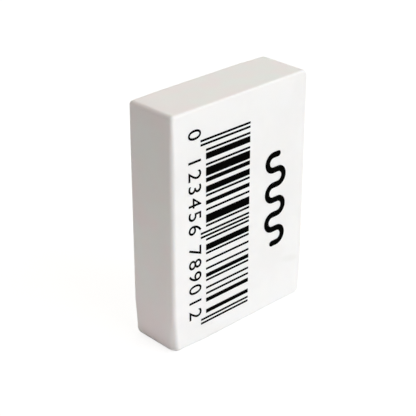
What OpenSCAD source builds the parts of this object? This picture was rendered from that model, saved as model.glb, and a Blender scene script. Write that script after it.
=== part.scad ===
// Moulded rubber eraser: one flat block that stands on a small end, with its front face towards -Y.
// The origin lies on the surface it stands on, under the middle of the block.
// +X runs across the width, +Y through the thickness to the plain back, and +Z up the length.
// The front face is printed in one dark ink: a column of stripes, and beside it one thick wave.

/* [Block] */
// Length of the block, which is its height as it stands
block_length = 42; // [36:1:52]
// Width of the front face
block_width = 30; // [28:1:38]
// Thickness, from the front face to the back
block_thickness = 10; // [6:0.5:16]
// Radius of the small round along the rims of the front face and the back
rim_radius = 0.7; // [0.3:0.1:0.7]
// Radius of the two corners at the top, seen from the front
top_corner_radius = 0.8; // [0.8:0.1:3]
// Radius of the two corners at the foot, which are rounder
foot_corner_radius = 1.2; // [0.8:0.1:3]

/* [Ink] */
// Thickness of the layer of ink, which stands proud of the front face
ink_thickness = 0.04; // [0.02:0.01:0.1]

/* [Stripes] */
// Bare length between the foot and the lowest stripe
stripes_foot_gap = 3.5; // [3:0.1:6]
// Bare length between the highest stripe and the top end
stripes_top_gap = 5.4; // [3:0.1:7]
// Bare width between the left side and the short stripes
stripes_side_gap = 7.1; // [5:0.1:8]
// Length of a short stripe, which runs across the block
stripe_length = 9.7; // [6:0.1:10]
// How much further to the left the long pairs of stripes reach
long_stripe_reach = 1.15; // [0.5:0.05:2]

/* [Wave] */
// Bare width between the stripes and the wave
wave_gap = 3.7; // [2:0.1:4.5]
// Width of the wave's line
wave_line = 1.05; // [0.6:0.05:1.3]
// Width of the whole wave, across the block
wave_width = 4.9; // [4.4:0.1:5]
// Distance along the block from one turn of the wave to the next turn on the same side
wave_pitch = 5.5; // [4:0.1:5.8]
// Number of turns on each side of the wave
wave_turns = 3; // [1:1:4]
// How far the middle of the wave lies above the middle of the column of stripes
wave_rise = 0.7; // [-2:0.1:2]

/* [Hidden] */
$fn = 96;

rubber_white = "#F4F4F2";
ink_black = "#161613";

// The column of stripes is measured in units. A pair is two long stripes of one unit, one unit apart.
// Each half of the column lists its short stripes from the top, as [bare gap above, stripe].
pair_units = 3;
upper_half = [[2, 1], [1, 3], [2, 1], [1, 4], [1, 2], [2, 3], [1, 1], [2, 2], [2, 1], [2, 4], [1, 1]];
lower_half = [[1, 1], [2, 3], [1, 1], [3, 1], [3, 1], [2, 2], [1, 1], [3, 1], [2, 1], [2, 2], [4, 2]];
// Bare gap between the last short stripe of a half and the pair below it
half_end_gap = 2;

// Units taken up by the first steps of a half, and by the whole of it
function first_steps(half, count) =
    count == 0 ? 0 : first_steps(half, count - 1) + half[count - 1][0] + half[count - 1][1];
function half_units(half) = first_steps(half, len(half)) + half_end_gap;

front_y = -block_thickness / 2;
flat_reach = block_thickness / 2 - rim_radius;

column_top = block_length - stripes_top_gap;
column_length = column_top - stripes_foot_gap;
unit = column_length / (3 * pair_units + half_units(upper_half) + half_units(lower_half));
upper_half_top = column_top - pair_units * unit;
middle_pair_top = upper_half_top - half_units(upper_half) * unit;
lower_half_top = middle_pair_top - pair_units * unit;
lowest_pair_top = lower_half_top - half_units(lower_half) * unit;

stripes_left = stripes_side_gap - block_width / 2;
stripes_right = stripes_left + stripe_length;

wave_x = stripes_right + wave_gap + wave_width / 2;
wave_z = stripes_foot_gap + column_length / 2 + wave_rise;
turn_radius = wave_pitch / 4;
leg_length = wave_width - wave_line - 2 * turn_radius;

// Section through the rim of the block: X runs outwards to the side, and Y through the thickness.
// Both outer corners are quarter rounds.
module rim_section(depth) {
    translate([0, -flat_reach]) square([depth, 2 * flat_reach]);
    translate([0, front_y]) square([depth - rim_radius, block_thickness]);
    for (face = [0, 1]) mirror([0, face]) translate([depth - rim_radius, flat_reach])
        intersection() {
            circle(r = rim_radius);
            square(rim_radius);
        }
}

// Straight stretch of rim that faces +X, from its lower end up
module rim_stretch(depth, length) {
    linear_extrude(height = length) rim_section(depth);
}

// Corner of the block: the rim's section carried round from +X to +Z
module rim_corner(radius) {
    rotate([90, 0, 0]) rotate_extrude(angle = 90) rim_section(radius);
}

// One end of the block, as deep as its corners, with the rim facing +Z and the middle at the origin
module block_end(radius) {
    between_corners = block_width - 2 * radius;
    translate([between_corners / 2, 0, 0]) rotate([0, -90, 0]) rim_stretch(radius, between_corners);
    for (side = [0, 1]) mirror([side, 0, 0]) translate([between_corners / 2, 0, 0]) rim_corner(radius);
}

// The block is cut out in thought along straight lines, and each region is drawn where it lies:
// the two ends with their corners, the two long sides, and the flat middle between them.
module eraser_block() {
    side_length = block_length - top_corner_radius - foot_corner_radius;
    between_sides = block_width - 2 * top_corner_radius;
    color(rubber_white) union() {
        translate([0, 0, block_length - top_corner_radius]) block_end(top_corner_radius);
        translate([0, 0, foot_corner_radius]) mirror([0, 0, 1]) block_end(foot_corner_radius);
        for (side = [0, 1]) mirror([side, 0, 0]) translate([between_sides / 2, 0, foot_corner_radius])
            rim_stretch(top_corner_radius, side_length);
        translate([-between_sides / 2, front_y, foot_corner_radius])
            cube([between_sides, block_thickness, side_length]);
    }
}

// Lays a flat shape on the front face as ink: its X runs across the block and its Y up the length
module printed() {
    color(ink_black) translate([0, front_y, 0]) rotate([90, 0, 0]) linear_extrude(height = ink_thickness)
        children();
}

// One stripe, with its top edge at the given height and its left end further out by reach
module stripe(top, units, reach = 0) {
    translate([stripes_left - reach, top - units * unit]) square([stripe_length + reach, units * unit]);
}

// Two long stripes, the upper one with its top edge at the given height
module long_pair(top) {
    for (units_down = [0, pair_units - 1]) stripe(top - units_down * unit, 1, long_stripe_reach);
}

module half_column(half, top) {
    for (i = [0 : len(half) - 1]) stripe(top - (first_steps(half, i) + half[i][0]) * unit, half[i][1]);
}

module printed_stripes() {
    printed() {
        long_pair(column_top);
        half_column(upper_half, upper_half_top);
        long_pair(middle_pair_top);
        half_column(lower_half, lower_half_top);
        long_pair(lowest_pair_top);
    }
}

// Half of a ring on the +X side of the Y axis, or half of a disc where the inner radius is 0
module half_ring(inner, outer) {
    intersection() {
        difference() {
            circle(r = outer);
            circle(r = inner);
        }
        translate([0, -outer]) square([outer, 2 * outer]);
    }
}

// The wave is drawn from the bottom up: level legs, joined by half rings on the right and left in turn.
// A half disc rounds off its free ends, at the left of the lowest leg and the right of the highest.
module printed_wave() {
    turns = 2 * wave_turns;
    printed() translate([wave_x, wave_z - turns * turn_radius]) {
        for (i = [0 : turns]) translate([-leg_length / 2, 2 * i * turn_radius - wave_line / 2])
            square([leg_length, wave_line]);
        for (i = [0 : turns - 1]) mirror([i % 2, 0]) translate([leg_length / 2, (2 * i + 1) * turn_radius])
            half_ring(turn_radius - wave_line / 2, turn_radius + wave_line / 2);
        mirror([1, 0]) translate([leg_length / 2, 0]) half_ring(0, wave_line / 2);
        translate([leg_length / 2, 2 * turns * turn_radius]) half_ring(0, wave_line / 2);
    }
}

eraser_block();
printed_stripes();
printed_wave();
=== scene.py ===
# %% [markdown]
# A white rubber eraser stands on its small end on a pale table. This lesson dresses it in Blender.
# The real thing is one block of soft vinyl rubber, 42 mm by 30 mm by 10 mm, with a print in black
# ink on its front face. The size and the print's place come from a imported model, the frame, which
# the first cell loads. Everything after that only adds finish: edges that the hand has rounded,
# rubber that lets a little light in, ink that lies on it as a thin film, and plain studio light.

# %% Load the frame and measure it
import math

import bmesh
import bpy
from mathutils import Matrix, Vector


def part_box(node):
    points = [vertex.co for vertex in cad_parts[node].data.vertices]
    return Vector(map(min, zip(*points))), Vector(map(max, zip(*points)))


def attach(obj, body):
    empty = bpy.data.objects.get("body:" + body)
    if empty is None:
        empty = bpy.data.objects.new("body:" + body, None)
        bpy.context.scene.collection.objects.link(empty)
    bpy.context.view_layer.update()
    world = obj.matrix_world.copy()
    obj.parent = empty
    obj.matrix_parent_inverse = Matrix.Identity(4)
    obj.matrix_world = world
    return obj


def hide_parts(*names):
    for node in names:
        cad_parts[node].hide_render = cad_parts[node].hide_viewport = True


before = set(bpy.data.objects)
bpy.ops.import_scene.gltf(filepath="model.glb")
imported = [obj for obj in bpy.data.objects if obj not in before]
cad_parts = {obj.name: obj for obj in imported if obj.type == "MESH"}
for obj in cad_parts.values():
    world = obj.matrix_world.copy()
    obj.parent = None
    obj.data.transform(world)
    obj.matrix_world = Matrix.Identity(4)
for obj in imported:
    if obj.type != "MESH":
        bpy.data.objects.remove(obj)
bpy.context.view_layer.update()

MM = 0.001
block_low, block_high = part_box("eraser_block")
block_size = block_high - block_low
print("block, mm:", [round(side / MM, 2) for side in block_size])

# %% [markdown]
# A few small helpers keep the later cells short. Colours are written as the hex values that a paint
# program shows, but a shader wants linear light, so one function converts them. Another adds a
# node, gives it its settings and fills its sockets, either with a value or with a link. The rest
# are groups of nodes that come back: mixing two colours, softly cutting a pattern between two
# levels, and telling which rays come straight from the camera or from a mirror.

# %% Helpers for colours and nodes
def linear_colour(hex_code):
    channels = [int(hex_code[i:i + 2], 16) / 255 for i in (1, 3, 5)]
    return [c / 12.92 if c <= 0.04045 else ((c + 0.055) / 1.055) ** 2.4 for c in channels] + [1.0]


def add_node(tree, kind, sockets=None, **settings):
    node = tree.nodes.new(kind)
    for name, value in settings.items():
        setattr(node, name, value)
    for name, value in (sockets or {}).items():
        if isinstance(value, bpy.types.NodeSocket):
            tree.links.new(value, node.inputs[name])
        else:
            node.inputs[name].default_value = value
    return node


def new_material(name):
    material = bpy.data.materials.new(name)
    material.use_nodes = True
    material.node_tree.nodes.clear()
    return material, material.node_tree


def mix_colours(tree, share, first, second):
    mix = add_node(tree, "ShaderNodeMix", {0: share, 6: first, 7: second}, data_type="RGBA")
    return mix.outputs[2]


def soft_cut(tree, value, low, high):
    cut = add_node(tree, "ShaderNodeMapRange", {"Value": value, "From Min": low, "From Max": high},
                   interpolation_type="SMOOTHSTEP")
    return cut.outputs[0]


def is_ray(tree, *kinds):
    """1 for rays of any of these kinds, and 0 for the others."""
    path = add_node(tree, "ShaderNodeLightPath")
    either = path.outputs[kinds[0]]
    for kind in kinds[1:]:
        either = add_node(tree, "ShaderNodeMath", {0: either, 1: path.outputs[kind]},
                          operation="MAXIMUM").outputs[0]
    return either


print("white at sRGB 0.95 is", round(linear_colour("#F2F2F2")[0], 3), "in linear light")

# %% [markdown]
# The camera stands where the photographer stood: left of the block's front, a little above it, and
# looking down. A long lens from 0.21 m away keeps the block's sides nearly parallel. The place and
# the lens come from a fit to the block's straight edges. Azimuth is the angle round from the front.

# %% Place the camera
CAMERA_PLACE = Vector((-123.69, -126.62, 109.92)) * MM
CAMERA_AZIMUTH = math.radians(-43.70)
CAMERA_ELEVATION = math.radians(26.92)
LENS_MM = 103.65
SENSOR_MM = 36
NEAREST, FARTHEST = 0.01, 10

camera_data = bpy.data.cameras.new("camera")
camera_data.lens = LENS_MM
camera_data.sensor_width = SENSOR_MM
camera_data.clip_start, camera_data.clip_end = NEAREST, FARTHEST
camera = bpy.data.objects.new("camera", camera_data)
camera.location = CAMERA_PLACE
camera.rotation_euler = (math.pi / 2 - CAMERA_ELEVATION, 0, CAMERA_AZIMUTH)
bpy.context.scene.collection.objects.link(camera)
bpy.context.scene.camera = camera
print("camera stands", round(CAMERA_PLACE.length, 3), "m from the block's foot")

# %% [markdown]
# The light is that of a small product studio beside a window. Two sun lamps with wide angles act as
# softboxes a long way off. The key stands in front of the block and a little to its right: it is
# slightly cool, like daylight, and lights the printed face evenly. The other hangs overhead, a
# little to the left, and keeps the left side's upper edge from going dark. The room does the rest.
# Its walls are bright on the right and fall off to nothing on the left, so the left side lies in
# soft shade. A small white card lies on the table on the left and throws some light back up on to
# that side's foot. Camera and mirror rays see the room as plain white, and neither sees the card.

# %% Light the studio
KEY_STRENGTH = 1.9
KEY_TINT = "#F1F5FF"
KEY_ANGLE = math.radians(60)
KEY_DIRECTION = Vector((0.10, -0.275, 0.124))
OVERHEAD_STRENGTH = 0.41
OVERHEAD_TINT = "#FFEDEB"
OVERHEAD_ANGLE = math.radians(80)
OVERHEAD_DIRECTION = Vector((-0.45, 0, 1))
ROOM_BRIGHTEST = 0.99
ROOM_DARK_FROM = -0.87
ROOM_TINT = "#FFFDF0"
CARD_POWER = 0.0032
CARD_TINT = "#FFEFF4"
CARD_SIDE = 60 * MM
CARD_PLACE = Vector((-46, 0, 1)) * MM


def add_lamp(name, kind, power, towards, place=(0, 0, 0), **settings):
    lamp_data = bpy.data.lights.new(name, kind)
    lamp_data.energy = power
    for setting, value in settings.items():
        setattr(lamp_data, setting, value)
    lamp = bpy.data.objects.new(name, lamp_data)
    lamp.location = place
    lamp.rotation_euler = Vector(towards).to_track_quat("-Z", "Y").to_euler()
    lamp.visible_camera = False
    bpy.context.scene.collection.objects.link(lamp)
    return lamp


add_lamp("key_softbox", "SUN", KEY_STRENGTH, -KEY_DIRECTION, angle=KEY_ANGLE,
         color=linear_colour(KEY_TINT)[:3])
add_lamp("overhead_softbox", "SUN", OVERHEAD_STRENGTH, -OVERHEAD_DIRECTION, angle=OVERHEAD_ANGLE,
         color=linear_colour(OVERHEAD_TINT)[:3])
card = add_lamp("white_card", "AREA", CARD_POWER, (0, 0, 1), CARD_PLACE, size=CARD_SIDE,
                color=linear_colour(CARD_TINT)[:3])
card.visible_glossy = False

world = bpy.data.worlds.new("white_room")
bpy.context.scene.world = world
world.use_nodes = True
room = world.node_tree
room.nodes.clear()
seen = is_ray(room, "Is Camera Ray", "Is Glossy Ray", "Is Transmission Ray")
direction = add_node(room, "ShaderNodeTexCoord").outputs["Generated"]
across = add_node(room, "ShaderNodeSeparateXYZ", {"Vector": direction}).outputs["X"]
wall = add_node(room, "ShaderNodeMapRange", {"Value": across, "From Min": ROOM_DARK_FROM,
                                             "From Max": 1.0, "To Max": ROOM_BRIGHTEST})
lit = add_node(room, "ShaderNodeBackground", {"Color": linear_colour(ROOM_TINT),
                                              "Strength": wall.outputs[0]})
white = add_node(room, "ShaderNodeBackground", {"Color": (1, 1, 1, 1), "Strength": 1.0})
mix = add_node(room, "ShaderNodeMixShader", {0: seen, 1: lit.outputs[0], 2: white.outputs[0]})
add_node(room, "ShaderNodeOutputWorld", {"Surface": mix.outputs[0]})
print("key lamp at", round(math.degrees(math.asin(KEY_DIRECTION.normalized().z))), "degrees up")

# %% [markdown]
# The table top is a plain pale sheet. Seen by the camera it glows just enough to come out white, as
# a cut-out background does, while its diffuse part still darkens in the block's shadow. To light
# that travels on to the block it is an ordinary pale surface.

# %% Lay the table top
TABLE_SIDE = 4.0
TABLE_ALBEDO = 0.75
TABLE_SEEN_ALBEDO = 0.30
TABLE_GLOW = 0.83

table_mesh = bpy.data.meshes.new("table_top")
shape = bmesh.new()
bmesh.ops.create_grid(shape, x_segments=1, y_segments=1, size=TABLE_SIDE / 2)
shape.to_mesh(table_mesh)
shape.free()
table_top = bpy.data.objects.new("table_top", table_mesh)
bpy.context.scene.collection.objects.link(table_top)

table_paint, tree = new_material("pale_table_top")
seen = is_ray(tree, "Is Camera Ray", "Is Glossy Ray")
plain = add_node(tree, "ShaderNodeBsdfDiffuse", {"Color": [TABLE_ALBEDO] * 3 + [1]})
shaded = add_node(tree, "ShaderNodeBsdfDiffuse", {"Color": [TABLE_SEEN_ALBEDO] * 3 + [1]})
glow = add_node(tree, "ShaderNodeEmission", {"Strength": TABLE_GLOW})
both = add_node(tree, "ShaderNodeAddShader", {0: shaded.outputs[0], 1: glow.outputs[0]})
mix = add_node(tree, "ShaderNodeMixShader", {0: seen, 1: plain.outputs[0], 2: both.outputs[0]})
add_node(tree, "ShaderNodeOutputMaterial", {"Surface": mix.outputs[0]})
table_mesh.materials.append(table_paint)
print("table top is", TABLE_SIDE, "m across")

# %% [markdown]
# The block is moulded, so nothing on it is a sharp corner, but the rounds aren't all alike. The
# mould gives the outline four round corners, and handling then wears the rims of the two large
# faces: most at the foot's left end, least along the top and down the right side. So the outline is
# walked once, station by station. Each station carries a quarter round to the front face and one to
# the back face, and these change smoothly from a corner's size to the side's and on to the next
# corner's. A rim may reach deeper along the block's thickness than it comes in from the outline.
# Weighted normals keep the large faces flat to the eye right up to the rounds.

# %% Model the rubber block
# Corners go round from the foot's left one, and each side starts at its corner: foot, right, top,
# left. A rim is given as how far it comes in from the outline and how deep behind its face, in mm.
CORNER_RADII = [1.4 * MM, 1.2 * MM, 1.1 * MM, 0.8 * MM]
FRONT_RIM_AT_CORNERS = [(1.05, 1.9), (0.6, 0.8), (0.4, 0.4), (0.55, 0.55)]
FRONT_RIM_ON_SIDES = [(0.8, 0.8), (0.4, 0.4), (0.35, 0.35), (0.75, 0.75)]
BACK_RIM_AT_CORNERS = [(1.4, 1.4), (1.2, 1.2), (1.1, 1.1), (0.8, 1.0)]
BACK_RIM_ON_SIDES = [(0.9, 0.9), (0.9, 0.9), (0.7, 0.7), (0.8, 0.8)]
WEAR_FADE = 6 * MM
CORNER_STEPS = 8
FADE_STEPS = 6
RIM_STEPS = 8
QUARTER_TURN = math.pi / 2


def rims_along(at_corners, on_sides, index):
    """A rim at a corner, on the side after it and at the corner after that."""
    following = (index + 1) % len(at_corners)
    return [Vector(rim) * MM for rim in (at_corners[index], on_sides[index], at_corners[following])]


def fade(corner_rim, side_rim, share):
    return corner_rim.lerp(side_rim, share * share * (3 - 2 * share))


def outline_stations():
    """Places on the outline in X and Z, the way out, and the front and the back rim."""
    corners = []
    for index, radius in enumerate(CORNER_RADII):
        at_left, at_foot = index in (0, 3), index in (0, 1)
        centre = Vector((block_low.x + radius if at_left else block_high.x - radius,
                         block_low.z + radius if at_foot else block_high.z - radius))
        arc = []
        for step in range(CORNER_STEPS + 1):
            angle = math.pi + (index + step / CORNER_STEPS) * QUARTER_TURN
            way = Vector((math.cos(angle), math.sin(angle)))
            arc.append((centre + radius * way, way))
        corners.append(arc)
    for index, arc in enumerate(corners):
        fronts = rims_along(FRONT_RIM_AT_CORNERS, FRONT_RIM_ON_SIDES, index)
        backs = rims_along(BACK_RIM_AT_CORNERS, BACK_RIM_ON_SIDES, index)
        for place, way in arc:
            yield place, way, fronts[0], backs[0]
        start, way = arc[-1]
        end = corners[(index + 1) % len(corners)][0][0]
        along = (end - start).normalized()
        for step in range(1, FADE_STEPS + 1):
            share = step / FADE_STEPS
            yield (start + along * WEAR_FADE * share, way,
                   fade(fronts[0], fronts[1], share), fade(backs[0], backs[1], share))
        for step in range(FADE_STEPS, 0, -1):
            share = step / FADE_STEPS
            yield (end - along * WEAR_FADE * share, way,
                   fade(fronts[2], fronts[1], share), fade(backs[2], backs[1], share))


block_mesh = bpy.data.meshes.new("rubber_block")
shape = bmesh.new()
ribs = []
for place, way, front, back in outline_stations():
    rib = []
    for face_y, (worn, deep), inward in ((block_low.y, front, 1), (block_high.y, back, -1)):
        turns = range(RIM_STEPS + 1) if inward > 0 else range(RIM_STEPS, -1, -1)
        for turn in turns:
            angle = turn * QUARTER_TURN / RIM_STEPS
            spot = place - way * worn * (1 - math.sin(angle))
            spot_y = face_y + inward * deep * (1 - math.cos(angle))
            rib.append(shape.verts.new((spot.x, spot_y, spot.y)))
    ribs.append(rib)
for rib, following in zip(ribs, ribs[1:] + ribs[:1]):
    for low, high in zip(range(len(rib) - 1), range(1, len(rib))):
        shape.faces.new((rib[low], following[low], following[high], rib[high]))
shape.faces.new([rib[0] for rib in reversed(ribs)])
shape.faces.new([rib[-1] for rib in ribs])
bmesh.ops.recalc_face_normals(shape, faces=shape.faces)
for face in shape.faces:
    face.smooth = True
shape.to_mesh(block_mesh)
shape.free()

block = bpy.data.objects.new("rubber_block", block_mesh)
bpy.context.scene.collection.objects.link(block)
block.modifiers.new("flat_faces", "WEIGHTED_NORMAL").weight = 100
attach(block, "root")
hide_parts("eraser_block")
print("rubber block:", len(ribs), "stations and", len(block_mesh.polygons), "faces")

# %% [markdown]
# White vinyl rubber is soft PVC, filled with chalk and pressed in a mould. It is matt and nearly
# white, with a hint of warmth, and light goes a fraction of a millimetre into it. Faint clouds and
# a fine dusty grain keep it from looking like plain plastic. Fingers hold it by the narrow sides,
# so those have faint pinkish and greenish patches, chosen by how far a surface turns from the
# front. Low down on the right of the front face a finger has left one faint slanting smear.

# %% Finish the rubber
RUBBER_PALE = "#F7F6F4"
RUBBER_DEEP = "#F4F3F1"
HANDLED_PINK = "#F9F2F2"
HANDLED_GREEN = "#F4F7F4"
SMEAR_GREY = "#F2F1EE"
CLOUD_SIZE = 7 * MM
PATCH_SIZE = 6 * MM
GRAIN_SIZE = 0.35 * MM   # coarser than the real dust, which is finer than a pixel
GRAIN_HEIGHT = 0.02 * MM
GRAIN_STRENGTH = 0.25
SIDE_FROM, SIDE_FULL = 0.9, 0.2   # how squarely a surface faces front or back
SMEAR_PLACE = Vector((12.1, -5, 7.9)) * MM
SMEAR_TURN = math.radians(15)
SMEAR_SIZE = Vector((3.2, 4, 1.0)) * MM
RUBBER_ROUGHNESS = 0.6
RUBBER_IOR = 1.5
SOAK_SHARE = 0.25
SOAK_DEPTH = 0.5 * MM
SOAK_BY_COLOUR = (1.0, 0.85, 0.7)

rubber, tree = new_material("white_vinyl_rubber")
coordinates = add_node(tree, "ShaderNodeTexCoord")
place = coordinates.outputs["Object"]
clouds = add_node(tree, "ShaderNodeTexNoise", {"Vector": place, "Scale": 1 / CLOUD_SIZE,
                                               "Detail": 3.0, "Roughness": 0.5})
plain_rubber = mix_colours(tree, soft_cut(tree, clouds.outputs["Fac"], 0.35, 0.65),
                           linear_colour(RUBBER_DEEP), linear_colour(RUBBER_PALE))
patches = add_node(tree, "ShaderNodeTexNoise", {"Vector": place, "Scale": 1 / PATCH_SIZE,
                                                "Detail": 2.0, "Roughness": 0.45})
handled = mix_colours(tree, soft_cut(tree, patches.outputs["Fac"], 0.3, 0.7),
                      linear_colour(HANDLED_GREEN), linear_colour(HANDLED_PINK))
facing = add_node(tree, "ShaderNodeSeparateXYZ",
                  {"Vector": coordinates.outputs["Normal"]}).outputs["Y"]
facing = add_node(tree, "ShaderNodeMath", {0: facing}, operation="ABSOLUTE").outputs[0]
narrow = add_node(tree, "ShaderNodeMapRange", {"Value": facing, "From Min": SIDE_FROM,
                                               "From Max": SIDE_FULL}).outputs[0]
colour = mix_colours(tree, narrow, plain_rubber, handled)
smear = add_node(tree, "ShaderNodeMapping", {"Vector": place, "Location": SMEAR_PLACE,
                                             "Rotation": (0, SMEAR_TURN, 0), "Scale": SMEAR_SIZE},
                 vector_type="TEXTURE").outputs[0]
smear = add_node(tree, "ShaderNodeVectorMath", {0: smear}, operation="LENGTH").outputs["Value"]
colour = mix_colours(tree, soft_cut(tree, smear, 1.0, 0.2), colour, linear_colour(SMEAR_GREY))
grain = add_node(tree, "ShaderNodeTexNoise", {"Vector": place, "Scale": 1 / GRAIN_SIZE,
                                              "Detail": 4.0, "Roughness": 0.6})
bump = add_node(tree, "ShaderNodeBump", {"Height": grain.outputs["Fac"],
                                         "Strength": GRAIN_STRENGTH, "Distance": GRAIN_HEIGHT})
skin = add_node(tree, "ShaderNodeBsdfPrincipled", {
    "Base Color": colour, "Roughness": RUBBER_ROUGHNESS, "IOR": RUBBER_IOR,
    "Subsurface Weight": SOAK_SHARE, "Subsurface Scale": SOAK_DEPTH,
    "Subsurface Radius": SOAK_BY_COLOUR, "Normal": bump.outputs[0]})
add_node(tree, "ShaderNodeOutputMaterial", {"Surface": skin.outputs[0]})
block_mesh.materials.append(rubber)
print("clouds of", CLOUD_SIZE / MM, "mm and grain of", GRAIN_SIZE / MM, "mm")

# %% [markdown]
# The print is one colour of ink, pressed on with a pad or through a screen. It lies on the rubber
# as a thin, very dense film that dries dead matt, with hardly any sheen. The stripes and the wave
# are the frame's own pieces and only need this finish.

# %% Finish the printed stripes and wave
INK_BLACK = "#030302"
INK_WORN = "#070706"
INK_PATCH_SIZE = 0.8 * MM
INK_ROUGHNESS = 0.6
INK_IOR = 1.45
INK_SHEEN = 0.005

ink, tree = new_material("black_printing_ink")
place = add_node(tree, "ShaderNodeTexCoord").outputs["Object"]
coverage = add_node(tree, "ShaderNodeTexNoise", {"Vector": place, "Scale": 1 / INK_PATCH_SIZE,
                                                 "Detail": 4.0, "Roughness": 0.6})
colour = mix_colours(tree, soft_cut(tree, coverage.outputs["Fac"], 0.4, 0.7),
                     linear_colour(INK_BLACK), linear_colour(INK_WORN))
film = add_node(tree, "ShaderNodeBsdfPrincipled", {
    "Base Color": colour, "Roughness": INK_ROUGHNESS, "IOR": INK_IOR,
    "Specular IOR Level": INK_SHEEN})
add_node(tree, "ShaderNodeOutputMaterial", {"Surface": film.outputs[0]})
for name in ("printed_stripes", "printed_wave"):
    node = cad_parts[name]
    for i in range(len(node.material_slots)):
        node.material_slots[i].material = ink
print("inked:", [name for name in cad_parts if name.startswith("printed")])

# %% [markdown]
# A row of plain thin numerals runs down the face beside the stripes. They only count up from nought
# and mean nothing. Each one is a text object turned into a mesh, made as thin as an ink film and
# laid on the face with its head towards the stripes.

# %% Print the numerals
NUMERAL_HEIGHT = 2.65 * MM
NUMERAL_PITCH = 2.34 * MM
NUMERAL_FOOT_X = -11.6 * MM
GROUPS = (("0", 38.7 * MM), ("123456", 34.2 * MM), ("789012", 18.6 * MM))
FONT_NUMERAL_HEIGHT = 0.69
FONT_SIDE_BEARING = 0.03
STROKE_THICKENING = 0.001
CURVE_STEPS = 6
FILM_THICKNESS = 0.03 * MM
MERGE_DISTANCE = 1e-7

font_size = NUMERAL_HEIGHT / FONT_NUMERAL_HEIGHT


def numeral_mesh(figure):
    text = bpy.data.curves.new("figure", "FONT")
    text.body = figure
    text.size = font_size
    text.offset = STROKE_THICKENING * font_size
    text.extrude = FILM_THICKNESS / 2
    text.resolution_u = CURVE_STEPS
    holder = bpy.data.objects.new("figure", text)
    bpy.context.scene.collection.objects.link(holder)
    bpy.context.view_layer.update()
    mesh = bpy.data.meshes.new_from_object(holder)
    bpy.data.objects.remove(holder)
    bpy.data.curves.remove(text)
    return mesh


# A figure is drawn with X to its right, Y to its head and Z out of the page. On the block its right
# is down, its head is towards +X, and out of the page is -Y.
turn = Matrix(((0, 1, 0), (0, 0, -1), (-1, 0, 0))).to_4x4()
shape = bmesh.new()
for figures, top in GROUPS:
    for count, figure in enumerate(figures):
        height = top - count * NUMERAL_PITCH + FONT_SIDE_BEARING * font_size
        mesh = numeral_mesh(figure)
        corner = Vector((NUMERAL_FOOT_X, block_low.y - FILM_THICKNESS / 2, height))
        mesh.transform(Matrix.Translation(corner) @ turn)
        shape.from_mesh(mesh)
        bpy.data.meshes.remove(mesh)
bmesh.ops.remove_doubles(shape, verts=shape.verts, dist=MERGE_DISTANCE)
numerals_mesh = bpy.data.meshes.new("printed_numerals")
shape.to_mesh(numerals_mesh)
shape.free()
numerals = bpy.data.objects.new("printed_numerals", numerals_mesh)
bpy.context.scene.collection.objects.link(numerals)
numerals_mesh.materials.append(ink)
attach(numerals, "root")
print("numerals:", len(numerals_mesh.polygons), "faces")

# %% [markdown]
# The last cell keeps the colours as they are written.

# %% Keep the colours as written
bpy.context.scene.view_settings.view_transform = "Standard"
